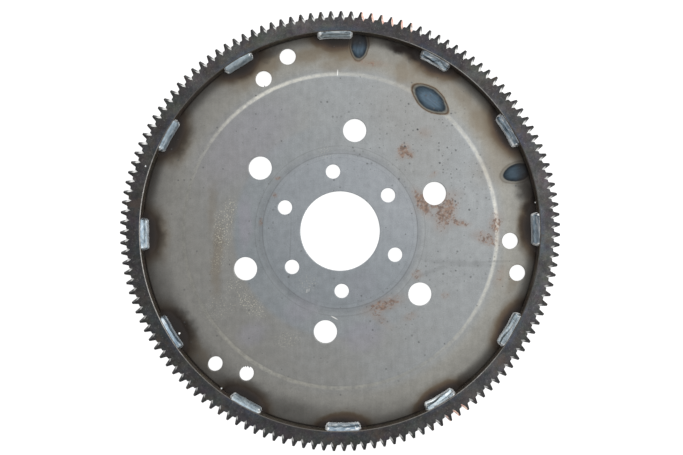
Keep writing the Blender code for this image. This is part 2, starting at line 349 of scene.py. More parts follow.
def buildCamera():
    data = bpy.data.cameras.new("camera")
    data.lens = stage["lens"]
    data.sensor_width = stage["sensorWidth"]
    data.clip_start = 0.01
    camera = placed("camera", data)
    camera.location = stage["cameraPlace"]
    scene.camera = camera


def buildFloor():
    bm = bmesh.new()
    bmesh.ops.create_grid(bm, x_segments=1, y_segments=1, size=stage["floorSize"] / 2)
    bmesh.ops.translate(bm, verts=bm.verts, vec=(0, 0, stage["floorLevel"]))
    mesh = meshOf(bm, "floor")
    material = bpy.data.materials.new("paleFloor")
    material.use_nodes = True
    tree = material.node_tree
    tree.nodes.clear()
    path = addNode(tree, "ShaderNodeLightPath")
    seen = larger(NodeValue(path, "Is Camera Ray"), NodeValue(path, "Is Glossy Ray"))
    seen = larger(seen, NodeValue(path, "Is Transmission Ray"))
    own = addNode(tree, "ShaderNodeEmission", {"Color": (1, 1, 1, 1), "Strength": stage["floorWhite"]})
    shadowed = addNode(tree, "ShaderNodeBsdfDiffuse", {"Color": stage["floorShown"]})
    pale = addNode(tree, "ShaderNodeBsdfDiffuse", {"Color": stage["floorHidden"]})
    shown = derived("ShaderNodeAddShader", {0: NodeValue(own), 1: NodeValue(shadowed)})
    both = derived("ShaderNodeMixShader", {0: seen, 1: NodeValue(pale), 2: shown})
    addNode(tree, "ShaderNodeOutputMaterial", {"Surface": both})
    mesh.materials.append(material)
    floor = placed("floor", mesh)


def buildWorld():
    world = bpy.data.worlds.new("softStudio")
    scene.world = world
    world.use_nodes = True
    tree = world.node_tree
    direction = NodeValue(addNode(tree, "ShaderNodeTexCoord"), "Generated")
    darkest, brightest = stage["worldRange"]
    level = towards(direction, stage["brightSide"]) * stage["worldLean"] + 1.0
    level = calc("MINIMUM", larger(level, darkest), brightest)
    for degrees, strength in stage["lobes"]:
        level += remap(towards(direction, degrees, stage["lobeRise"]), 0.8, 1.0, 0.0, strength)
    seen = NodeValue(addNode(tree, "ShaderNodeLightPath"), "Is Camera Ray")
    level = larger(level * stage["worldLevel"], seen)  # the camera sees white
    background = tree.nodes["Background"].inputs
    background["Color"].default_value = (1.0, 1.0, 1.0, 1.0)
    feed(background["Strength"], level)


def buildLamp():
    data = bpy.data.lights.new("softBox", "AREA")
    data.size = stage["lampSize"]
    data.energy = stage["lampWatts"]
    lamp = placed("softBox", data)
    lamp.location = stage["lampPlace"]
    lamp.rotation_euler = Vector(stage["lampPlace"]).to_track_quat("Z", "Y").to_euler()


scene.view_settings.view_transform = "Standard"
buildCamera()
buildFloor()
buildWorld()
buildLamp()
print("Camera, floor and light are in place")


# Effects that more than one finish uses

origin = (0.0, 0.0, 0.0)
weldPlaces = {"first": 0.9, "pitch": 30.0}  # degrees


def buildMarkGroup():
    # 0 in the middle of an oval mark, 1 at its edge, and more beyond it
    group, given, out = newGroup("ovalMark", {
        "Position": origin, "Centre": origin, "Turn": 0.0, "Half Length": 5.0, "Half Width": 5.0,
        "Taper": 0.0, "Leaf": 0.0}, ["Field"])
    position, centre, turn, halfLength, halfWidth, taper, leaf = given
    turned = turnedBack(vectorCalc("SUBTRACT", position, centre), turn * -1.0)
    x, y = flatPlace(turned)
    along = x / halfLength
    narrowing = 1.0 - along * taper - along * along * leaf
    across = y / halfWidth / larger(narrowing, 0.2)
    feed(out["Field"], calc("SQRT", along * along + across * across))
    return group


def buildPolarGroup():
    # Distance from the axis in millimetres, and angle in degrees from -180 to 180
    group, (position,), out = newGroup("polarPlace", {"Position": origin}, ["Radius", "Angle"])
    x, y = flatPlace(position)
    feed(out["Radius"], calc("SQRT", x * x + y * y))
    feed(out["Angle"], calc("DEGREES", calc("ARCTAN2", y, x)))
    return group


def buildGrainGroup():
    # Fine grain of rolled steel, with streaks along Y
    group, (position, grainSize, streaks), out = newGroup("steelGrain", {
        "Position": origin, "Grain Size": 1.0, "Streaks": 0.5}, ["Shade", "Height"])
    sized = vectorCalc("DIVIDE", position, grainSize)
    fine = clouds(sized, 1.3, 4.0, 0.65)
    coarse = clouds(sized, 0.22, 3.0, 0.55)
    drawnOut = derived("ShaderNodeMapping", {"Vector": sized, "Scale": (0.55, 0.035, 0.5)})
    streak = clouds(drawnOut, 1.0, 3.0, 0.55)
    feed(out["Shade"], fine * 0.45 + coarse * 0.35 + (streak - 0.5) * streaks + 0.1)
    feed(out["Height"], fine + streak * streaks)
    return group


def buildPitGroup():
    # Scattered round pits and specks: 1 inside a speck
    group, (position, spacing, share, size), out = newGroup("scatteredPits", {
        "Position": origin, "Spacing": 5.0, "Share": 0.4, "Size": 0.5}, ["Mask"])
    cell = derived("ShaderNodeTexVoronoi", {"Vector": vectorCalc("DIVIDE", position, spacing), "Scale": 1.0},
                   voronoi_dimensions="2D")
    distance, colour = outputsOf(cell)[:2]
    chance, breadth, depth = outputsOf(derived("ShaderNodeSeparateColor", {"Color": colour}))
    chosen = calc("LESS_THAN", chance, share)
    reach = size * (breadth + 0.4) / spacing
    wobbly = distance * (clouds(position, 1.6, 2.0) + 0.5)
    spot = remap(wobbly, reach, reach * 0.45)
    feed(out["Mask"], spot * (chosen * (depth * 0.8 + 0.3)))
    return group


ovalMark = buildMarkGroup()
polarPlace = buildPolarGroup()
steelGrain = buildGrainGroup()
scatteredPits = buildPitGroup()


def fromWeld(angle):
    # Degrees from the middle of the nearest weld on the ring
    half = weldPlaces["pitch"] / 2
    return calc("WRAP", angle - weldPlaces["first"], half, -half)


# Plate

plateShape = {
    "bore": 31.75, "back": 4.8, "front": 7.8, "rise": 1.5, "edge": 161.2, "edgeBreak": 0.4,
    "slopeTop": 123.9, "slopeFoot": 126.9, "bend": 0.9,
    "witnessRings": ((61.8, 0.7, 0.05), (68.0, 0.6, 0.03)),  # radius, width, depth of the flange's marks
    "turnSteps": 360, "holeSides": 48, "lip": 0.5,
    "backBend": 0.6, "backLip": 0.3, "backFlare": 0.45,
}
plateHoles = {
    "crank": {"size": 11.5, "circle": 47.95, "angles": (36.76, 96.76, 156.76, 216.76, 271.59, 336.76)},
    "large": {"size": 18.6, "circle": 81.35, "angles": (21.72, 81.72, 141.72, 201.72, 261.72, 321.72)},
    "outerConverter": {"size": 13.0, "circle": 146.05, "angles": (-13.27, 106.73)},
    "innerConverter": {"size": 13.0, "circle": 136.53, "angles": (-3.31, 116.69)},
    # The oval ones: size is along the radius, width across it
    "outerOval": {"size": 12.6, "width": 11.2, "circle": 146.05, "angles": (226.73,)},
    "innerOval": {"size": 12.6, "width": 11.2, "circle": 136.53, "angles": (236.69,)},
}
holeBurrs = (  # the hole's angle, where on its edge, length and width of the tongue
    (116.69, 278.0, 1.7, 1.3), (236.69, 92.0, 1.2, 1.0), (236.69, 78.0, 0.8, 0.9), (236.69, 66.0, 1.2, 1.0),
    (236.69, 107.0, 0.7, 0.9),
)
burrShape = {"height": 0.9, "buried": 0.15, "tip": 0.12, "sides": 7}


def holeCutter(size, front, back):
    # A pin with a flared top, which leaves the rolled lip of a punched hole, and a small bevel at the back
    wall, lip = size / 2, plateShape["lip"]
    section = [(0, back - 1), (wall + plateShape["backFlare"], back - 1),
               (wall + plateShape["backLip"], back - 0.05), (wall, back + 0.25), (wall, front - lip)]
    for degrees in (25, 50, 72):
        angle = math.radians(degrees)
        section.append((wall + lip * (1 - math.cos(angle)), front - lip + lip * math.sin(angle)))
    section += [(wall + lip * 1.3, front + 0.1), (wall + lip * 1.3, front + 1), (0, front + 1)]
    return spunSection(section, plateShape["holeSides"], closed=False)


def buildPlate():
    shape = plateShape
    front, back = shape["front"], shape["back"]
    top = front + shape["rise"]
    section = [(shape["bore"], back + shape["rise"]), (shape["bore"], top)]
    for radius, width, depth in shape["witnessRings"]:
        section += [(radius - width / 2, top), (radius, top - depth), (radius + width / 2, top)]
    section += [(shape["slopeTop"], top), (shape["slopeFoot"], front), (shape["edge"], front),
                (shape["edge"], back), (shape["slopeFoot"], back), (shape["slopeTop"], back + shape["rise"])]
    bm = spunSection(section, shape["turnSteps"])
    for radius, height, offset, segments in (
            (shape["slopeTop"], top, shape["bend"], 5), (shape["slopeFoot"], front, shape["bend"], 5),
            (shape["slopeTop"], back + shape["rise"], shape["backBend"], 4),
            (shape["slopeFoot"], back, shape["backBend"], 4),
            (shape["edge"], front, shape["edgeBreak"], 2), (shape["edge"], back, shape["edgeBreak"], 2),
            (shape["bore"], top, shape["lip"], 4),
            (shape["bore"], back + shape["rise"], shape["backLip"], 2)):
        rounded(bm, circleEdges(bm, radius, height), offset, segments)
    pins = bmesh.new()
    for holes in plateHoles.values():
        lift = shape["rise"] if holes["circle"] < shape["slopeTop"] else 0.0
        narrowing = holes.get("width", holes["size"]) / holes["size"]
        for angle in holes["angles"]:
            pin = holeCutter(holes["size"], front + lift, back + lift)
            bmesh.ops.scale(pin, verts=pin.verts, vec=(1.0, narrowing, 1.0))
            turnRound(pin, angle)
            bmesh.ops.translate(pin, verts=pin.verts, vec=polar(holes["circle"], angle))
            joined(pins, pin)
    return cutAway(bm, pins)


def buildBurrs():
    # Torn tongues of steel on the walls of two holes
    bm = bmesh.new()
    for angle, place, length, width in holeBurrs:
        hole = next(entry for entry in plateHoles.values() if angle in entry["angles"])
        wall = hole.get("width", hole["size"]) / 2 + burrShape["buried"]
        lie = Matrix.Rotation(math.radians(place + 180), 4, "Z") @ Matrix.Rotation(math.radians(90), 4, "Y")
        height = plateShape["back"] + burrShape["height"]
        spot = polar(hole["circle"], angle, height) + polar(wall - length / 2, place)
        bmesh.ops.create_cone(bm, cap_ends=True, segments=burrShape["sides"], radius1=width / 2 * mm,
                              radius2=burrShape["tip"] * mm, depth=length * mm,
                              matrix=Matrix.Translation(spot) @ lie)
    return bm


def joined(target, addition):
    mesh = meshOf(addition, "part")
    target.from_mesh(mesh)
    bpy.data.meshes.remove(mesh)


plateFinish = {
    "roughness": 0.42,
    "metallic": 0.9,
    "sheenLevel": 0.2,
    "middleSteel": paint(147, 150, 151),
    "flangeSteel": paint(148, 152, 156),  # inside the mark that the crankshaft's flange left
    "outerSteel": paint(147, 146, 140),
    # The next two steels are darker as painted shade at the lower left; the olive one also carries an oxide
    # tint
    "paintedShadeSteel": paint(130, 136, 140),  # at the left, inside and outside of the first mark
    "oliveAndShadeSteel": paint(133, 132, 128),
    # a painted highlight on the crest of the slope
    "paintedSlopeHighlight": paint(196, 194, 184),
    "violetTint": paint(144, 143, 150),
    # soot, and also the painted shade in the corner below the ring
    "sootAndShade": paint(40, 36, 34),
    "tanHeat": paint(118, 105, 85),
    "strawHeat": paint(110, 99, 84),
    "rustDark": paint(94, 74, 64),
    "rustLight": paint(140, 116, 100),
    "pit": paint(80, 82, 83),
    "chalk": paint(202, 199, 182),
    "scratch": paint(226, 226, 222),
    "corner": 158.0,  # radius of the corner below the ring
    "haloLength": 19.8, "haloBreadth": 12.0,  # half of the burnt oval round a weld
    "markDepth": 10000.0,  # far more than the plate's thickness, so that height doesn't matter
    # Radius, half width and strength of the lines that the flange left
    "flangeLines": ((62.0, 0.8, 0.26), (63.6, 3.4, 0.12), (68.0, 0.7, 0.16), (58.5, 0.5, 0.1)),
    # How strong the painted highlight on the slope's crest, and the dirt and painted shade in the corner, are
    # round the part
    "slopeHighlightLevels": (
        (0.0, 0.2), (0.083, 0.28), (0.167, 0.65), (0.25, 0.5), (0.333, 0.25), (0.417, 0.5), (0.5, 0.6),
        (0.583, 0.45), (0.64, 0.3), (0.7, 0.25), (0.75, 0.35), (0.833, 0.75), (0.88, 0.5), (0.917, 0.32),
        (0.96, 0.2), (1.0, 0.2)),
    "cornerDirtAndShadeLevels": (
        (0.0, 0.7), (0.042, 0.35), (0.125, 0.3), (0.208, 0.25), (0.292, 0.55), (0.375, 1.0), (0.458, 1.0),
        (0.542, 0.93), (0.625, 1.0), (0.708, 1.0), (0.792, 0.72), (0.875, 0.85), (0.958, 1.0), (1.0, 0.7)),
    # Heat colours from the middle of a mark outwards, its edge at 0.5
    "haloStops": (
        (0.0, paint(23, 21, 21)), (0.26, paint(28, 26, 25)), (0.34, paint(46, 40, 37)),
        (0.43, paint(72, 60, 52)), (0.5, paint(92, 79, 67)), (0.56, paint(103, 92, 79)),
        (0.62, paint(108, 98, 85))),
    "ovalStops": (
        (0.0, paint(88, 104, 118)), (0.22, paint(80, 97, 110)), (0.33, paint(58, 70, 80)),
        (0.38, paint(46, 55, 62)), (0.405, paint(60, 64, 67)), (0.43, paint(104, 105, 100)),
        (0.46, paint(112, 109, 101)), (0.488, paint(84, 71, 61)), (0.51, paint(92, 79, 66)),
        (0.55, paint(140, 130, 114))),
}
# Marks on the plate: x, y, turn, half length, half width, strength
# The heat ovals have the outline's strength, and then taper, how light the middle is, and how pointed
heatOvals = (
    (15.3, 148.4, 86, 12.6, 7.7, 0.8, -0.1, 0.85, 0.1),
    (72.2, 105.4, -38, 17.6, 9.3, 1.0, 0.05, 0.92, 0.28),
    (141.2, 46.7, 16, 13.4, 8.6, 0.45, -0.12, 0.6, 0.0),
)
rustPatches = (
    (50.5, 64.0, 60, 6.0, 4.5, 1.0), (55.0, 61.5, -20, 4.5, 3, 0.9), (66.0, 22.0, -60, 12, 5, 1.0),
    (78.0, 23.5, 20, 16, 6, 0.8), (84.0, 15.5, 75, 14, 8, 1.0), (95.0, 6.5, -10, 8, 3, 0.8),
    (67.5, 78.5, 0, 5, 4, 0.5), (74.5, 45.0, 30, 4, 2, 0.5), (124.0, 5.0, 80, 10, 5, 0.8),
    (117.0, -6.0, -20, 11, 5, 0.8), (61.5, -35.0, 0, 4, 4, 0.7), (35.0, -59.0, 20, 16, 5, 0.85),
    (30.0, -68.0, -40, 12, 4, 0.6), (56.0, -68.0, 20, 6, 3, 0.5), (84.0, -51.5, 0, 3, 3, 0.5),
    (24.0, 134.5, -5, 13, 2.5, 0.6), (-50.0, 42.0, 0, 2.5, 1.5, 0.8), (-52.0, 28.5, 0, 2, 2, 0.8),
    (-63.5, 6.8, 80, 3, 1.5, 0.7), (128.0, -36.0, 70, 8, 4, 0.5),
)
pitPatches = (
    (72.0, 72.0, -40, 46, 34, 1.0), (98.0, 30.0, -70, 40, 22, 0.8), (30.0, 64.0, 10, 30, 20, 0.7),
    (90.0, -30.0, 10, 36, 14, 0.7), (36.0, -62.0, -20, 30, 16, 0.7), (-62.0, 8.0, 80, 26, 10, 0.5),
    (10.0, 95.0, 0, 24, 12, 0.5),
)
sootMarks = (
    (50.0, 145.0, -18, 13, 4.2, 1.0), (58.0, 141.5, -22, 10, 4.5, 1.0), (65.0, 138.5, -26, 7, 4, 0.9),
    (155.5, 24.0, 96, 8, 4.5, 0.95), (126.0, 95.0, -52, 6, 4.0, 0.8), (-128.0, -76.0, -58, 19, 9.0, 0.9),
    (145.0, -63.0, 62, 8, 3.5, 0.85), (-84.0, -126.0, -32, 12, 5.0, 0.7), (98.0, -118.0, 45, 12, 3, 0.4),
    (10.0, 151.0, -4, 12, 4, 0.6), (-60.0, 140.0, 25, 12, 4, 0.5), (-75.7, 128.0, 31, 13, 5, 0.6),
    (-128.6, 71.3, 61, 16, 7, 0.7), (-148.0, -2.5, 91, 17, 6.5, 0.75), (-71.0, -128.0, -29, 15, 5.5, 0.6),
    (-40.0, -141.0, -16, 16, 6, 0.25), (149.0, 33.0, 104, 11, 7.5, 0.8), (147.0, 1.5, 90, 14, 4.5, 0.7),
    (152.0, 18.0, 95, 9, 6.5, 0.9),
)
dimLines = (
    (98.0, -26.0, -4, 26, 2.2, 0.16), (116.0, -24.6, 2, 24, 1.0, 0.14), (76.0, -31.0, 20, 14, 1.6, 0.14),
    (-40.0, -20.0, 88, 26, 0.6, 0.15),
)
violetPatches = (
    (16.5, -43.5, 30, 13, 11, 0.5), (18.0, -83.5, 10, 15, 11, 0.6), (-76.0, 70.0, 42, 42, 22, 0.45),
    (-76.0, 6.0, 88, 20, 5, 0.7), (-30.0, -62.0, 30, 14, 10, 0.5), (-70.0, -82.0, 30, 12, 8, 0.5),
)
brownMarks = (
    (-98.0, -24.0, 88, 26, 4.0, 0.4), (-102.0, 18.0, 88, 18, 3.5, 0.25), (16.0, 136.0, 0, 16, 8, 0.3),
    (50.5, 127.0, 82, 11, 7, 0.55), (59.0, 129.0, 80, 10, 5, 0.5), (60.0, 122.0, -20, 12, 6, 0.4),
    (114.0, 87.0, -56, 17, 9.5, 0.6), (99.0, 106.0, -46, 14, 6, 0.45), (124.0, 70.0, -60, 16, 8, 0.4),
    (4.0, 141.5, 0, 16, 6, 0.75), (-4.0, 133.0, 10, 12, 6, 0.4), (-58.0, 133.0, 28, 11, 8, 0.65),
    (-72.0, 122.0, 32, 15, 6, 0.5), (-128.0, 66.0, 62, 16, 7, 0.45), (-144.0, -4.0, 90, 18, 7, 0.45),
    (-118.0, -92.0, -52, 22, 7, 0.5), (60.0, 118.0, -36, 26, 14, 0.3), (126.0, 52.0, 18, 20, 14, 0.3),
    (-24.0, 141.0, 9, 14, 6, 0.6), (139.0, -38.0, 75, 12, 5, 0.4), (58.0, 92.0, -38, 36, 26, 0.17),
    (64.0, 58.0, 40, 24, 20, 0.12),
)
chalkPatches = (
    (-72.0, -57.5, -50, 15, 6, 0.95), (-86.0, -43.0, 0, 7, 5, 0.7), (-93.0, 2.0, 85, 17, 7, 0.95),
    (-87.0, 18.0, 70, 8, 5, 0.8), (-96.0, -20.0, 80, 12, 7, 0.5), (-41.0, -87.0, 10, 10, 6, 0.5),
    (-26.0, -42.0, 0, 7, 6, 0.5), (-95.0, -60.0, 30, 16, 10, 0.35), (-12.0, 62.0, 0, 6, 6, 0.3),
)
brightMarks = (
    (-2.0, 126.5, 87, 2.6, 0.4, 0.8), (-4.5, -69.2, -28, 2.8, 0.4, 0.9),
    (-26.4, -47.6, 84, 1.6, 0.3, 0.6), (-24.8, -47.0, 84, 1.4, 0.3, 0.5),
)


def markMask(position, marks, soft=0.5):
    # 1 inside any of the marks, times each mark's strength
    mask = 0.0
    for x, y, turn, halfLength, halfWidth, strength in marks:
        # Runs from 1 in the middle to 0 at twice the mark's size
        oval = derived("ShaderNodeTexGradient", {"Vector": position}, "Fac", gradient_type="SPHERICAL")
        placing = oval.node.texture_mapping
        placing.vector_type = "TEXTURE"
        placing.translation = (x, y, 0.0)
        placing.rotation = (0.0, 0.0, math.radians(turn))
        placing.scale = (2 * halfLength, 2 * halfWidth, plateFinish["markDepth"])
        mask = larger(mask, remap(oval, (1 - soft) / 2, (1 + soft) / 2, 0.0, strength))
    return mask


def warped(position, scale, amount):
    # The position pushed about by noise, so that marks get natural edges
    push = vectorCalc("SUBTRACT", clouds(position, scale, output="Color"), (0.5, 0.5, 0.5))
    return vectorCalc("ADD", position, scaled(push, amount))


def weldHalo(position, radius, angle):
    # An oval round each weld, 1 at its edge
    finish = plateFinish
    along = fromWeld(angle) * (math.radians(finish["corner"]) / finish["haloLength"])
    inward = (finish["corner"] - radius) / finish["haloBreadth"]
    inward = inward * remap(towards(position, 305), 50.0, 150.0, 1.0, 1.09)
    ragged = (clouds(position, 0.1, 3.0, 0.55) - 0.5) * 0.4
    return calc("SQRT", along * along + inward * inward) + ragged


def paintedInnerShade(position, radius):
    # Painted shade: the part round the centre bore is darker towards the bottom
    return remap(towards(position, 270), -15.0, 45.0, 0.0, 0.5) * remap(radius, 66.0, 58.0)


def paintedSlopeHighlight(position, radius, angle):
    # Painted highlight on the slope's crest, strong at the right and the top, and nearly gone at the left
    highlightStrength = byAngle(angle, plateFinish["slopeHighlightLevels"])
    crest = remap(radius, 123.2, 124.9) * remap(radius, 128.2, 125.7)
    return highlightStrength * crest * remap(clouds(position, 0.25, 4.0, 0.65), 0.3, 0.6, 0.4, 1.1)


def heatOval(colour, position, smooth, mark):
    # Heat that came through from a weld of the weight on the other side
    x, y, turn, halfLength, halfWidth, outline, taper, lightness, leaf = mark
    turned = turnedBack(position, -math.radians(turn))
    streaky = warped(vectorCalc("MULTIPLY", turned, (0.3, 1.1, 1.0)), 0.3, 3.0)
    field = useGroup(
        ovalMark, smooth, (x, y, 0.0), math.radians(turn), halfLength, halfWidth, taper, leaf)[0] / 2.0
    light = clouds(streaky, 0.5) * lightness + 0.5 * lightness
    tint = shaded(rampOf(field, plateFinish["ovalStops"]), light)
    share = larger(remap(field, 0.58, 0.5, 0.0, outline), remap(field, 0.46, 0.38))
    return mixColours(share, colour, tint)


def buildPlateMaterial():
    finish = plateFinish
    material, inputs, position = newMaterial("plateSteel", finish["roughness"], finish["metallic"])
    radius, angle = useGroup(polarPlace, position)
    grain, grainHeight = useGroup(steelGrain, position, 1.2, 0.16)
    moved = warped(position, 0.16, 9.0)
    wander = clouds(position, 0.03, 4.0, 0.6)
    # Bare steel, smoother within the flange's mark, warmer outside the raised middle, and warmer and darker
    # at the lower left, where the darkening is painted shade
    colour = mixColours(remap(radius, 58.0, 68.0), finish["flangeSteel"], finish["middleSteel"])
    colour = mixColours(remap(radius, 124.0, 136.0), colour, finish["outerSteel"])
    # Painted shade towards the lower left, with an olive oxide tint outside the first mark
    side = towards(position, 205) + (wander - 0.5) * 150.0
    shade = mixColours(remap(radius, 82.0, 88.0), finish["paintedShadeSteel"], finish["oliveAndShadeSteel"])
    colour = mixColours(remap(side, -70.0, 150.0), colour, shade)
    colour = mixColours(markMask(moved, violetPatches), colour, finish["violetTint"])
    colour = mixColours(paintedInnerShade(position, radius), colour, finish["paintedShadeSteel"])
    colour = mixColours(paintedSlopeHighlight(position, radius, angle), colour, finish["paintedSlopeHighlight"])
    broken = remap(wander, 0.25, 0.55, 0.35, 1.0)
    for ringRadius, halfWidth, strength in finish["flangeLines"]:
        line = remap(abs(radius - ringRadius), halfWidth, 0.0, 0.0, strength) * broken
        colour = mixColours(line, colour, finish["sootAndShade"])
    colour = shaded(colour, grain * 1.1 + 0.45 + (wander - 0.5) * 0.16)
    # Brown and straw tints, chalky grains and bright scratches
    colour = mixColours(markMask(moved, brownMarks, 0.6), colour, finish["tanHeat"])
    chalkGrain = remap(clouds(position, 0.85, 4.0, 0.7), 0.54, 0.64, 0.0, 0.9)
    colour = mixColours(chalkGrain * markMask(moved, chalkPatches), colour, finish["chalk"])
    colour = mixColours(markMask(position, brightMarks, 0.4), colour, finish["scratch"])
    # Heat of the ring's welds
    halo = weldHalo(position, radius, angle)
    haze = remap(halo, 1.65, 1.1) * remap(towards(position, 20), -100.0, 100.0, 0.3, 0.85)
    colour = mixColours(haze, colour, finish["strawHeat"])
    heat = rampOf(halo / 2.0, finish["haloStops"])
    vague = remap(towards(position, 185), 10.0, 110.0, 0.0, 0.3)  # softer edges at the left
    colour = mixColours(remap(halo, vague + 1.3, 1.12 - vague), colour, heat)
    burnt = remap(halo, 1.05, 0.85)
    smooth = warped(position, 0.14, 1.6)
    for mark in heatOvals:
        colour = heatOval(colour, position, smooth, mark)
    # Soot, and the dirt and painted shade in the corner below the ring
    inward = finish["corner"] - radius
    colour = mixColours(markMask(moved, sootMarks, 0.7), colour, finish["sootAndShade"])
    colour = mixColours(markMask(position, dimLines, 0.7), colour, finish["sootAndShade"])
    # Dirt and painted shade, darker towards the corner and towards the lower left
    shadeAndDirtSide = remap(towards(position, 230), 40.0, 140.0, 0.18, 0.5)
    colour = mixColours(remap(inward, 26.0, 8.0) * shadeAndDirtSide, colour, finish["sootAndShade"])
    # A band of dirt and painted shade beside the ring's wall, and the darkest painted shade in the corner
    # itself
    band = remap(inward, 11.0, 3.5, 0.0, 0.72) * byAngle(angle, finish["cornerDirtAndShadeLevels"])
    band = larger(band, remap(inward, 8.0, 3.0) * remap(halo, 1.25, 0.85, 0.0, 0.75))
    colour = mixColours(larger(band, remap(inward, 1.7, 0.9, 0.0, 0.85)), colour, finish["sootAndShade"])
    # Rust and pits
    patch = markMask(warped(position, 0.3, 4.0), rustPatches, 0.7)
    colour = mixColours(patch * 0.42, colour, finish["rustLight"])
    level = patch * -0.33 + 0.7
    rust = remap(clouds(position, 0.48, 4.0, 0.62), level, level + 0.12, 0.0, 0.75)
    rustTone = remap(clouds(position, 0.5, 3.0), 0.35, 0.65)
    colour = mixColours(rust, colour, mixColours(rustTone, finish["rustDark"], finish["rustLight"]))
    pits = useGroup(scatteredPits, position, 3.4, 0.4, 0.85)[0]
    clusters = remap(clouds(position, 0.07, 3.0), 0.42, 0.6, 0.15, 1.0)
    pits = pits * (markMask(moved, pitPatches, 0.4) * clusters)
    fewPits = useGroup(scatteredPits, position, 5.2, 0.09, 0.8)[0]
    colour = mixColours(larger(pits * 0.95, fewPits * 0.6), colour, finish["pit"])
    feed(inputs["Base Color"], colour)
    dull = larger(rust, burnt)
    feed(inputs["Roughness"], larger(grain * 0.2 + (finish["roughness"] - 0.1), dull * 0.62))
    feed(inputs["Metallic"], finish["metallic"] - dull * 0.7)
    inputs["Specular IOR Level"].default_value = finish["sheenLevel"]
    bumpFrom(inputs, grainHeight, 0.025)
    return material


def twoToneMaterial(name, roughness, metallic, grainScale, reach, first, second):
    # Two colours in soft patches, for the smallest pieces
    material, inputs, position = newMaterial(name, roughness, metallic)
    tone = remap(clouds(position, grainScale, 2.0), *reach)
    feed(inputs["Base Color"], mixColours(tone, first, second))
    return material


plateSteel = buildPlateMaterial()
# The burrs' dark tones are painted shade, as they sit deep in the holes' walls
burrShadeTones = paint(34, 34, 34), paint(62, 60, 58)
burrSteel = twoToneMaterial("burrSteel", 0.8, 0.2, 0.8, (0.35, 0.65), *burrShadeTones)
finishedPiece(buildPlate(), "drivePlate", [plateSteel], ["plate"])
finishedPiece(buildBurrs(), "holeBurrs", [burrSteel], [])
print("Plate built")


# Ring gear

ringShape = {
    "teeth": 135, "firstTooth": 1.72, "pitchRadius": 171.45, "pressureAngle": 20.0,
    "tip": 173.567, "root": 168.804, "toothThickness": 3.35, "bore": 158.004, "seat": 161.304,
    "lip": 8.0, "back": 4.8, "front": 15.6, "rootFillet": 0.7, "tipRound": 0.35,
    "edgeBreak": 0.1, "boreChamfer": 0.5, "flankSteps": 6,
    # The slope milled into each tooth: radius and sideways place of its outline at the front and the bottom
    "leadDepth": 1.8,
    "leadFront": ((174.8, -0.5), (171.0, -0.15), (168.2, -1.0), (166.4, -2.2), (170.4, -3.9), (174.8, -3.9)),
    "leadBottom": ((174.8, -2.6), (171.0, -2.35), (169.3, -3.0), (168.9, -3.5), (170.4, -3.9), (174.8, -3.9)),
}


def halfToothAngle(radius):
    # Half of the tooth's angle at a radius, from the involute
    shape = ringShape
    pressure = math.radians(shape["pressureAngle"])
    base = shape["pitchRadius"] * math.cos(pressure)
    lean = math.acos(base / radius)
    spread = (math.tan(pressure) - pressure) - (math.tan(lean) - lean)
    return shape["toothThickness"] / 2 / shape["pitchRadius"] + spread


def extruded(bm, faces):
    # Extrudes faces and gives back the new vertices
    grown = bmesh.ops.extrude_face_region(bm, geom=faces)["geom"]
    return [item for item in grown if isinstance(item, bmesh.types.BMVert)]


def openSides(bm, halfPitch):
    # Takes away the walls where one tooth's part of the rim meets the next
    walls = []
    for face in bm.faces:
        angles = [math.atan2(vert.co.y, vert.co.x) for vert in face.verts]
        if any(all(near(angle, side * halfPitch, 1e-5) for angle in angles) for side in (-1, 1)):
            walls.append(face)
    bmesh.ops.delete(bm, geom=walls, context="FACES")


def upright(edge, radius, angle):
    # True for an edge that runs straight up at that radius, on either side of the tooth
    return any(all(near(radiusOf(vert), radius) and near(math.atan2(vert.co.y, vert.co.x), side * angle, 1e-5)
                   for vert in edge.verts) for side in (-1, 1))


def sloping(face):
    return 0.2 < face.normal.z < 0.98


def cutLeadIn(bm):
    # Cuts the slope into the clockwise flank at the front, so that it runs out into the rim
    shape = ringShape
    front, depth = shape["front"], shape["leadDepth"]
    cutter = bmesh.new()
    for (frontRadius, frontSide), (radius, side) in zip(shape["leadFront"], shape["leadBottom"]):
        for lift in (-1.0, 0.4):
            share = -lift  # 1 at the bottom, 0 at the front face
            reach = frontRadius + (radius - frontRadius) * share
            across = frontSide + (side - frontSide) * share
            cutter.verts.new(polar(reach, math.degrees(across / reach), front + lift * depth))
    bmesh.ops.convex_hull(cutter, input=cutter.verts)
    result = cutAway(bm, cutter)
    result.normal_update()
    for face in result.faces:
        if sloping(face):
            face.material_index = 1
    return result


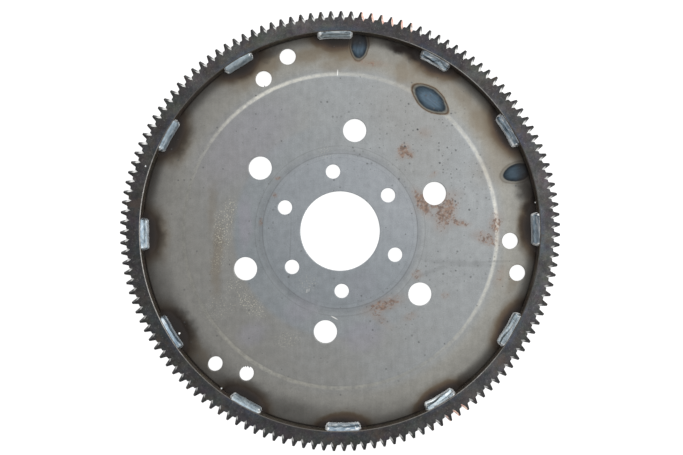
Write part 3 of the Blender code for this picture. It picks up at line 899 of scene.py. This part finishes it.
def buildTooth():
    shape = ringShape
    halfPitch = fullTurn / shape["teeth"] / 2
    outline = [(shape["root"], -halfPitch)]
    flank = []
    for step in range(shape["flankSteps"] + 1):
        radius = shape["root"] + (shape["tip"] - shape["root"]) * step / shape["flankSteps"]
        flank.append((radius, halfToothAngle(radius)))
    outline += [(radius, -angle) for radius, angle in flank] + flank[::-1] + [(shape["root"], halfPitch)]
    outline += [(shape["seat"], halfPitch * side) for side in (1, 0.5, 0, -0.5, -1)]
    bm = bmesh.new()
    verts = [bm.verts.new(polar(radius, math.degrees(angle), shape["back"])) for radius, angle in outline]
    thickness = (shape["front"] - shape["back"]) * mm
    bmesh.ops.translate(bm, verts=extruded(bm, [bm.faces.new(verts)]), vec=(0, 0, thickness))
    rootAngle, tipAngle = flank[0][1], flank[-1][1]
    roots = [edge for edge in bm.edges if upright(edge, shape["root"], rootAngle)]
    rounded(bm, roots, shape["rootFillet"], 4)
    tips = [edge for edge in bm.edges if upright(edge, shape["tip"], tipAngle)]
    rounded(bm, tips, shape["tipRound"], 3)
    bm = cutLeadIn(bm)
    bmesh.ops.bisect_plane(bm, geom=wholeOf(bm), plane_co=(0, 0, shape["lip"] * mm),
                           plane_no=(0, 0, 1), dist=1e-7)
    openSides(bm, halfPitch)
    wall = [face for face in bm.faces if all(
        near(radiusOf(vert), shape["seat"]) and vert.co.z / mm > shape["lip"] - 0.01 for vert in face.verts)]
    for vert in extruded(bm, wall):
        vert.co.xy *= shape["bore"] / shape["seat"]
    openSides(bm, halfPitch)
    bm.normal_update()
    rounded(bm, circleEdges(bm, shape["bore"], shape["front"]), shape["boreChamfer"], 1)
    for face in bm.faces:
        middle = face.calc_center_median()
        face.normal_update()
        if sloping(face) and math.hypot(middle.x, middle.y) / mm < shape["seat"]:
            face.material_index = 2
    outlineEdges = []
    for edge in bm.edges:
        low, high = sorted(vert.co.z / mm for vert in edge.verts)
        level = near(low, high) and (near(low, shape["back"]) or near(low, shape["front"]))
        outer = min(radiusOf(vert) for vert in edge.verts) > shape["root"] - 3
        if level and outer and len(edge.link_faces) == 2:
            outlineEdges.append(edge)
    rounded(bm, outlineEdges, shape["edgeBreak"], 2)
    return bm


def buildRing():
    shape = ringShape
    bm = buildTooth()
    count = shape["teeth"]
    bmesh.ops.spin(bm, geom=wholeOf(bm), cent=(0, 0, 0), axis=(0, 0, 1),
                   angle=fullTurn * (count - 1) / count, steps=count - 1, use_duplicate=True)
    turnRound(bm, shape["firstTooth"])
    cleaned(bm, 0.004)
    return bm


ringFinish = {
    "roughness": 0.45,
    "metallic": 0.85,
    "dark": paint(72, 72, 72),
    "light": paint(92, 91, 90),
    "shadow": paint(44, 44, 45),  # at the lower left
    "violet": paint(72, 69, 73),
    "toothsideDark": paint(50, 50, 51),
    "speckle": paint(132, 130, 126),
    "brown": paint(84, 73, 64),
    # the bore's wall: a brown tint, made lighter as painted light where it lies in shade
    "wall": paint(112, 103, 93),
    "weldBlue": paint(74, 84, 98),
    "facet": paint(190, 190, 188),
    # the facets' painted shade, where they face away from the light
    "facetShade": paint(78, 78, 78),
    # the bore's chamfer, lit with a painted highlight, and unlit
    "chamfer": paint(186, 185, 181),
    "unlitChamfer": paint(84, 81, 78),
    "paintMark": paint(232, 205, 188),
    "paintDeep": paint(216, 158, 142),
    "paintArcs": ((70.3, 85.2), (-60.1, -53.8)),  # degrees
    "facetMetallic": 0.92,
    # How light the front face, the milled facets and the bore's chamfer are round the part; on the facets and
    # the chamfer this is painted light, after the way each faces the light
    "faceLevels": (
        (0.0, 0.79), (0.083, 0.73), (0.167, 1.0), (0.25, 0.82), (0.333, 0.72), (0.417, 0.81), (0.5, 0.98),
        (0.583, 0.8), (0.667, 0.62), (0.75, 0.79), (0.833, 0.83), (0.917, 0.68), (1.0, 0.79)),
    "facetLightLevels": (
        (0.0, 0.65), (0.04, 0.15), (0.083, 0.0), (0.2, 0.2), (0.25, 0.75), (0.29, 1.0), (0.333, 0.98),
        (0.37, 0.3), (0.46, 0.3), (0.54, 0.45), (0.583, 0.85), (0.7, 0.97), (0.75, 0.6), (0.79, 0.1),
        (0.87, 0.4), (0.92, 1.0), (0.97, 0.9), (1.0, 0.65)),
    "chamferLevels": (
        (0.0, 0.35), (0.07, 0.35), (0.13, 0.12), (0.2, 0.0), (0.29, 0.0), (0.38, 0.35), (0.43, 0.05),
        (0.58, 0.05), (0.61, 0.6), (0.69, 0.5), (0.72, 0.15), (0.88, 0.0), (0.92, 0.1), (0.95, 0.4),
        (1.0, 0.35)),
}


def buildRingMaterial():
    finish = ringFinish
    material, inputs, position = newMaterial("ringSteel", finish["roughness"], finish["metallic"])
    radius, angle = useGroup(polarPlace, position)
    grain, grainHeight = useGroup(steelGrain, position, 0.8, 0.1)
    patches = clouds(position, 0.05, 4.0, 0.6)
    colour = mixColours(remap(patches, 0.35, 0.65), finish["dark"], finish["light"])
    tint = clouds(vectorCalc("ADD", position, (300.0, 0.0, 0.0)), 0.025, 3.0)
    colour = mixColours(remap(tint, 0.45, 0.65, 0.0, 0.7), colour, finish["violet"])
    beside = remap(abs(fromWeld(angle)), 7.5, 4.5) * remap(radius, 163.5, 158.5, 0.0, 0.55)
    colour = mixColours(beside, colour, finish["weldBlue"])
    colour = mixColours(remap(towards(position, 225), -20.0, 150.0, 0.0, 0.45), colour, finish["shadow"])
    # The bore's wall, brown, and lighter than the face as painted light where it lies in shade
    colour = mixColours(remap(radius, 158.3, 158.1), colour, finish["wall"])
    # Darker towards the teeth
    colour = mixColours(remap(radius, 167.5, 170.5, 0.0, 0.75), colour, finish["toothsideDark"])
    colour = shaded(colour, byAngle(angle, finish["faceLevels"]))
    hues = clouds(position, 0.09, 5.0, 0.7, output="Color")
    colour = shaded(colour, vectorCalc("MULTIPLY_ADD", hues, (0.7, 0.5, 0.7), (0.65, 0.75, 0.65)))
    colour = shaded(colour, grain * 3.2 - 0.6)
    pale = remap(clouds(position, 0.8, 4.0, 0.75), 0.56, 0.7, 0.0, 0.5)
    colour = mixColours(pale, colour, finish["speckle"])
    brown = clouds(vectorCalc("ADD", position, (0.0, 500.0, 0.0)), 0.06, 4.0, 0.6)
    colour = mixColours(remap(brown, 0.56, 0.7, 0.0, 0.5), colour, finish["brown"])
    feed(inputs["Base Color"], colour)
    bumpFrom(inputs, grainHeight, 0.03)
    return material


def buildFacetMaterial():
    # The milled lead-in of each tooth, with painted light and shade: lighter at its root and where it faces
    # the light, darker elsewhere; a few of them with old orange paint
    finish = ringFinish
    material, inputs, position = newMaterial("leadFacet", 0.36, finish["facetMetallic"])
    radius, angle = useGroup(polarPlace, position)
    grain = useGroup(steelGrain, position, 0.5, 0.1)[0]
    facetLight = grain * 1.6 + remap(radius, 171.6, 168.2, -0.6, 0.45)
    facetLight += byAngle(angle, finish["facetLightLevels"]) * 0.6 - 0.5
    colour = mixColours(remap(facetLight, 0.2, 1.0), finish["facetShade"], finish["facet"])
    painted = 0.0
    for low, high in finish["paintArcs"]:
        middle, half = (low + high) / 2, (high - low) / 2
        painted = larger(painted, remap(abs(angle - middle), half + 0.5, half - 0.5))
    painted = painted * remap(clouds(position, 0.35, 3.0), 0.3, 0.5)
    flakes = remap(clouds(position, 0.6, 3.0), 0.4, 0.6)
    paintTone = mixColours(flakes, finish["paintDeep"], finish["paintMark"])
    feed(inputs["Base Color"], mixColours(painted, colour, paintTone))
    feed(inputs["Metallic"], finish["facetMetallic"] - painted * 0.9)
    return material


def buildChamferMaterial():
    # The turned edge of the bore, bright with a painted highlight where it faces the light, and dull
    # elsewhere
    finish = ringFinish
    material, inputs, position = newMaterial("boreChamfer", 0.3, 0.95)
    angle = useGroup(polarPlace, position)[1]
    paintedHighlight = byAngle(angle, finish["chamferLevels"]) + (clouds(position, 0.5, 4.0, 0.7) - 0.5) * 0.9
    feed(inputs["Base Color"], mixColours(remap(paintedHighlight, 0.0, 1.0), finish["unlitChamfer"], finish["chamfer"]))
    return material


ringFinishes = [buildRingMaterial(), buildFacetMaterial(), buildChamferMaterial()]
ring = finishedPiece(buildRing(), "starterRing", ringFinishes, ["ring_gear"], 30)
print("Ring built:", len(ring.data.polygons), "faces")


# Weld beads

ringWelds = {
    "length": 28.3, "bulge": 0.9,
    # Where an entry has twelve values, they are those of the welds from the right anticlockwise
    "legOnPlate": (5.1, 5.3, 5.7, 4.0, 4.3, 4.3, 5.1, 3.5, 4.2, 4.8, 5.1, 5.1),
    "legOnRing": (7.2, 6.4, 6.0, 7.3, 7.0, 6.8, 7.3, 7.0, 7.3, 7.3, 6.9, 6.9),
    "turn": (-0.3, 0.0, 0.0, 0.6, 0.2, 0.0, 0.0, 0.0, 0.5, 0.0, -0.3, -1.0),
    "stretch": (-1.1, 1.4, -1.9, 0.8, -2.2, 0.3, -1.9, 1.9, -0.5, 0.8, -0.8, 2.2),
    # Length of one ripple, how far it bows along the bead, and how far the ridges cross over
    "lapPitch": (2.1, 1.7, 2.6, 1.5, 2.4, 2.0, 1.6, 1.9, 2.8, 2.2, 1.8, 2.0),
    "lapLean": (1.6, -1.8, 2.6, 1.2, -1.4, 1.5, 1.2, -1.3, 1.2, 1.8, -2.6, 2.4),
    "slant": (0.1, 0.5, -1.1, 0.3, 0.1, 0.15, -0.2, 0.25, -0.15, 0.05, 0.9, -0.8),
    "ridgeHeight": (0.10, 0.14, 0.28, 0.12, 0.03, 0.06, 0.10, 0.14, 0.04, 0.12, 0.26, 0.22),
    "lapHeight": 0.04, "ridges": 2.0, "lump": 0.1,
    # How streaky the skin is, how pale, how dull the strip beside the ring, and how white the ends are with
    # painted highlights
    "style": ((0.6, 0.35, 0.6, 1.0), (0.9, 0.3, 0.6, 1.0), (1.0, 0.4, 0.6, 0.5), (0.9, 0.65, 0.2, 0.8),
              (0.15, 0.6, 0.1, 0.9), (0.25, 0.45, 0.1, 0.8), (0.6, 0.45, 0.0, 0.3), (0.5, 0.35, 0.0, 0.2),
              (0.15, 0.55, 0.1, 0.9), (0.7, 0.3, 0.2, 0.9), (1.0, 0.7, 0.3, 0.8), (0.8, 0.6, 0.3, 0.9)),
}
weightWelds = {
    "length": 19.0, "straightLength": 16.5, "leg": 3.9, "bulge": 0.7, "middle": 55.8,
    "lapPitch": 1.8, "lapLean": 1.3, "lapHeight": 0.1, "ridgeHeight": 0.1, "ridges": 1.5, "slant": 0.3,
    "lump": 0.2, "style": (0.4, 0.4, 0.2, 0.4),
}
# Steps along and round a bead, how deep it reaches into the joint, and how long its rounded end is
beadMesh = {"stations": 110, "front": 15, "buried": 4, "sink": 0.25, "endLength": 2.3}
# How fast a bead's size wanders along it and by how much, and the same for its lumps along and across
beadWander = {"pitch": 0.16, "size": 0.08, "ridges": 0.25, "lumpsAlong": 0.55, "lumpsAcross": 2.4}


def beadSection(fraction, legs, bulge):
    # Place on the bead's section, from its toe on the plate to its toe on the wall and back inside the joint
    frontShare = beadMesh["front"] / (beadMesh["front"] + beadMesh["buried"])
    sink = beadMesh["sink"]
    if fraction <= frontShare:
        share = fraction / frontShare
        swell = bulge * (1 - abs(2 * share - 1) ** 3) / math.sqrt(2)
        flat = legs[0] * (1 - share) - sink * share + swell
        tall = legs[1] * share - sink * (1 - share) + swell
        return flat, tall, share
    share = (fraction - frontShare) / (1 - frontShare)
    if share < 0.5:
        return -sink * 2, legs[1] * (1 - share * 2) - sink * 2, 1.0
    return legs[0] * (share * 2 - 1) - sink * 2, -sink * 2, 0.0


def buildBead(rootAt, length, legs, values, seed):
    # rootAt gives, for a distance along the joint, the corner and the directions of its two walls
    style = values["style"]
    bm = bmesh.new()
    around = beadMesh["front"] + beadMesh["buried"]
    bmesh.ops.create_grid(bm, x_segments=beadMesh["stations"], y_segments=around, size=0.5)
    beadMap = bm.loops.layers.uv.new("bead")
    skinMap, trimMap = bm.loops.layers.uv.new("skin"), bm.loops.layers.uv.new("trim")
    for face in bm.faces:
        for loop in face.loops:
            loop[beadMap].uv = (loop.vert.co.x + 0.5, min(loop.vert.co.y + 0.5, 1.0))
            loop[skinMap].uv, loop[trimMap].uv = style[:2], style[2:]
    for vert in bm.verts:
        fraction = vert.co.x + 0.5
        distance = length * (fraction - 0.5)
        fromEnd = min(length / 2 - abs(distance), beadMesh["endLength"]) / beadMesh["endLength"]
        swell = math.sqrt(max(1 - (1 - fromEnd) ** 2, 0.0)) * 0.8 + 0.2 * fromEnd
        wander = noise.noise(Vector((distance * beadWander["pitch"], seed * 7.3, 0.0)))
        size = swell * (1 + beadWander["size"] * wander)
        flat, tall, share = beadSection(vert.co.y + 0.5, [leg * size for leg in legs], values["bulge"] * size)
        bow = (share - 0.5) ** 2 * 4 * values["lapLean"]
        lap = ((distance + bow) / values["lapPitch"]) % 1.0
        skin = math.sin(math.pi * share)
        push = values["lapHeight"] * (1 - (2 * lap - 1) ** 2) * swell
        across = share * values["ridges"] + values["slant"] * distance / length + seed * 0.37
        across += beadWander["ridges"] * wander
        push += values["ridgeHeight"] * math.cos(fullTurn * across) * swell
        spot = Vector((distance * beadWander["lumpsAlong"], share * beadWander["lumpsAcross"], seed * 3.1))
        push += values["lump"] * noise.noise(spot) * swell
        push *= skin ** 0.5 if skin > 0 else 0.0
        corner, out, up = rootAt(distance)
        vert.co = (corner + out * (flat + push * 0.7) + up * (tall + push * 0.7)) * mm
    bmesh.ops.remove_doubles(bm, verts=bm.verts, dist=0.01 * mm)
    bmesh.ops.holes_fill(bm, edges=[edge for edge in bm.edges if edge.is_boundary], sides=0)
    bmesh.ops.recalc_face_normals(bm, faces=bm.faces)
    return bm


def unitPolar(degrees):
    return Vector((math.cos(math.radians(degrees)), math.sin(math.radians(degrees)), 0.0))


def arcRoot(radius, degrees, height, up):
    # Root of a bead that follows a circle round the axis
    def rootAt(distance):
        angle = degrees + math.degrees(distance / radius)
        return unitPolar(angle) * radius + Vector((0, 0, height)), -unitPolar(angle), up
    return rootAt


def straightRoot(radius, degrees, side, height, up):
    # Root of a bead that runs outwards along the end of the weight
    def rootAt(distance):
        out = unitPolar(degrees + side * 90)
        return unitPolar(degrees) * (radius + distance) + Vector((0, 0, height)), out, up
    return rootAt


def buildRingWelds(material):
    for index in range(len(ringWelds["turn"])):
        own = {name: value[index] if isinstance(value, tuple) else value for name, value in ringWelds.items()}
        angle = weldPlaces["first"] + weldPlaces["pitch"] * index + own["turn"]
        rootAt = arcRoot(ringShape["bore"], angle, plateShape["front"], Vector((0, 0, 1)))
        legs = own["legOnPlate"], own["legOnRing"]
        bead = buildBead(rootAt, own["length"] + own["stretch"], legs, own, index + 1)
        number = f"{index + 1:02d}"
        finishedPiece(bead, "ringWeld" + number, [material], ["ring_weld_" + number], 60)


def buildWeightWelds(material):
    values = weightWelds
    down = Vector((0, 0, -1))
    middle, back = (weightShape["inner"] + weightShape["outer"]) / 2, plateShape["back"]
    roots = (
        (straightRoot(middle, weightShape["start"], -1, back, down), values["straightLength"]),
        (arcRoot(weightShape["inner"], values["middle"], back, down), values["length"]),
        (straightRoot(middle, weightShape["end"], 1, back, down), values["straightLength"]),
    )
    for index, (rootAt, length) in enumerate(roots):
        bead = buildBead(rootAt, length, (values["leg"], values["leg"]), values, index + 21)
        number = str(index + 1)
        finishedPiece(bead, "weightWeld" + number, [material], ["weight_weld_" + number], 60)


weldFinish = {
    "roughness": 0.34,
    "metallic": 0.9,
    "slate": paint(108, 127, 144),
    "pale": paint(184, 197, 202),
    # the colour of the painted highlights
    "paintedHighlight": paint(226, 228, 228),
    "dark": paint(46, 52, 60),
    "shelf": paint(92, 95, 100),
}


def mapPlace(tree, name):
    # The two coordinates of one of a bead's UV maps
    return flatPlace(NodeValue(addNode(tree, "ShaderNodeUVMap", uv_map=name)))


def buildWeldMaterial():
    finish = weldFinish
    material, inputs, position = newMaterial("weldMetal", finish["roughness"], finish["metallic"])
    angle = useGroup(polarPlace, position)[1]
    along, up = mapPlace(position.tree, "bead")
    across = up * ((beadMesh["front"] + beadMesh["buried"]) / beadMesh["front"])
    streaky, tone = mapPlace(position.tree, "skin")
    shelf, endHighlightLevel = mapPlace(position.tree, "trim")
    mottle = clouds(position, 0.22, 3.0, 0.5, 0.5)
    # Streaks that run along the bead, with a slant: the skin's own streaks, lightened as painted highlights
    # and darkened as painted shade
    spot = derived("ShaderNodeCombineXYZ", {
        "X": along * 2.6, "Y": across * 3.2 + along * 0.8, "Z": angle / 40.0})
    streak = clouds(spot, 1.0, 3.0, 0.55, 0.6)
    colour = mixColours(remap((mottle - 0.5) * 0.9 + tone, 0.0, 1.0), finish["slate"], finish["pale"])
    colour = mixColours(remap(streak, 0.46, 0.32, 0.0, 0.95) * streaky, colour, finish["dark"])
    colour = mixColours(remap(streak, 0.54, 0.66, 0.0, 0.95) * streaky, colour, finish["paintedHighlight"])
    # The strip beside the ring is duller, with a light line at its edge
    colour = mixColours(remap(across, 0.66, 0.74) * shelf, colour, finish["shelf"])
    # Painted light on the toe by the plate, where the bead would otherwise fall into shade
    toeGlow = remap(across, 0.36, 0.14) * (streaky * 0.5 + 0.15)
    colour = mixColours(toeGlow, colour, finish["paintedHighlight"])
    # Painted highlights along both edges of the bead
    edge = abs(across * 2.0 - 1.0) + (mottle - 0.5) * 0.5
    rim = remap(edge, 0.76, 0.92, 0.0, 0.4) * (streaky * 0.8 + 0.1)
    colour = mixColours(rim, colour, finish["paintedHighlight"])
    # Painted highlights, white, at the ends
    ends = abs(along - 0.5) * 2.0 + (clouds(position, 0.35, 2.0) - 0.5) * 0.8
    endHighlights = remap(ends, 0.84, 0.93) * endHighlightLevel
    colour = mixColours(endHighlights, colour, finish["paintedHighlight"])
    feed(inputs["Base Color"], colour)
    # The painted highlights are made less metallic, so that they stay white
    paintedLightShare = larger(larger(endHighlights * 0.7, rim * 0.5), toeGlow * 0.8)
    feed(inputs["Metallic"], finish["metallic"] - paintedLightShare)
    feed(inputs["Roughness"], streak * 0.3 + (0.26 - streaky * 0.08))
    relief = streak + clouds(position, 0.8, 3.0, 0.5)
    bumpFrom(inputs, relief * (streaky + 0.2), 0.1)
    return material


# Balance weight

weightShape = {"inner": 132.504, "outer": 157.004, "start": 19.6, "end": 83.0, "top": 4.8, "corner": 4.0,
               "edgeRound": 0.5, "steps": 64}


def buildWeight():
    shape = weightShape
    bm = bmesh.new()
    corners = ((shape["inner"], 0.0), (shape["outer"], 0.0), (shape["outer"], shape["top"]),
               (shape["inner"], shape["top"]))
    verts = [bm.verts.new(polar(radius, shape["start"], height)) for radius, height in corners]
    bmesh.ops.spin(bm, geom=[bm.faces.new(verts)], cent=(0, 0, 0), axis=(0, 0, 1),
                   angle=math.radians(shape["end"] - shape["start"]), steps=shape["steps"])
    cleaned(bm)
    cornerEdges = []
    for edge in bm.edges:
        first, second = edge.verts
        tall = abs(first.co.z - second.co.z) / mm > shape["top"] / 2
        angle = math.degrees(math.atan2(first.co.y, first.co.x))
        if tall and any(near(angle, end, 0.01) for end in (shape["start"], shape["end"])):
            cornerEdges.append(edge)
    rounded(bm, cornerEdges, shape["corner"], 8)
    rim = [edge for edge in bm.edges if edge.calc_face_angle(0.0) > math.radians(60)]
    rounded(bm, rim, shape["edgeRound"], 3)
    return bm


weightFinish = {"roughness": 0.46, "steel": paint(128, 126, 120), "highlightStrength": paint(150, 148, 143)}


def buildWeightMaterial():
    finish = weightFinish
    material, inputs, position = newMaterial("weightSteel", finish["roughness"], 0.9)
    grain, grainHeight = useGroup(steelGrain, position, 0.9, 0.3)
    patches = clouds(position, 0.05, 4.0, 0.6)
    colour = mixColours(remap(patches, 0.35, 0.65), finish["steel"], finish["highlightStrength"])
    colour = shaded(colour, grain * 0.6 + 0.7)
    pits = useGroup(scatteredPits, position, 4.0, 0.3, 0.5)[0]
    colour = mixColours(pits, colour, plateFinish["rustDark"])
    feed(inputs["Base Color"], colour)
    bumpFrom(inputs, grainHeight, 0.02)
    return material


weldMetal = buildWeldMaterial()
buildRingWelds(weldMetal)
finishedPiece(buildWeight(), "weightPlate", [buildWeightMaterial()], ["balance_weight"])
buildWeightWelds(weldMetal)
print("Welds and weight built")


# Weld spatter

spatterBalls = (  # place on the part, height of its foot, and size; the first is sunk into the ring's face
    (-153.4, 51.2, 14.95, 0.8), (-128.6, -81.9, 7.8, 0.85), (-94.9, -126.0, 7.8, 0.7),
    (156.3, 22.8, 7.8, 0.6),
)


def buildSpatter():
    bm = bmesh.new()
    for x, y, height, size in spatterBalls:
        ball = bmesh.ops.create_icosphere(bm, subdivisions=2, radius=size * mm)["verts"]
        bmesh.ops.scale(bm, verts=ball, vec=(1.0, 1.15, 0.75))
        bmesh.ops.translate(bm, verts=ball, vec=Vector((x, y, height + size * 0.3)) * mm)
    return bm


spatterTones = weldFinish["pale"], paint(240, 238, 235)
spatterMetal = twoToneMaterial("spatterMetal", 0.4, 0.2, 1.5, (0.3, 0.6), *spatterTones)
finishedPiece(buildSpatter(), "weldSpatter", [spatterMetal], [], 60)
print("Spatter built")
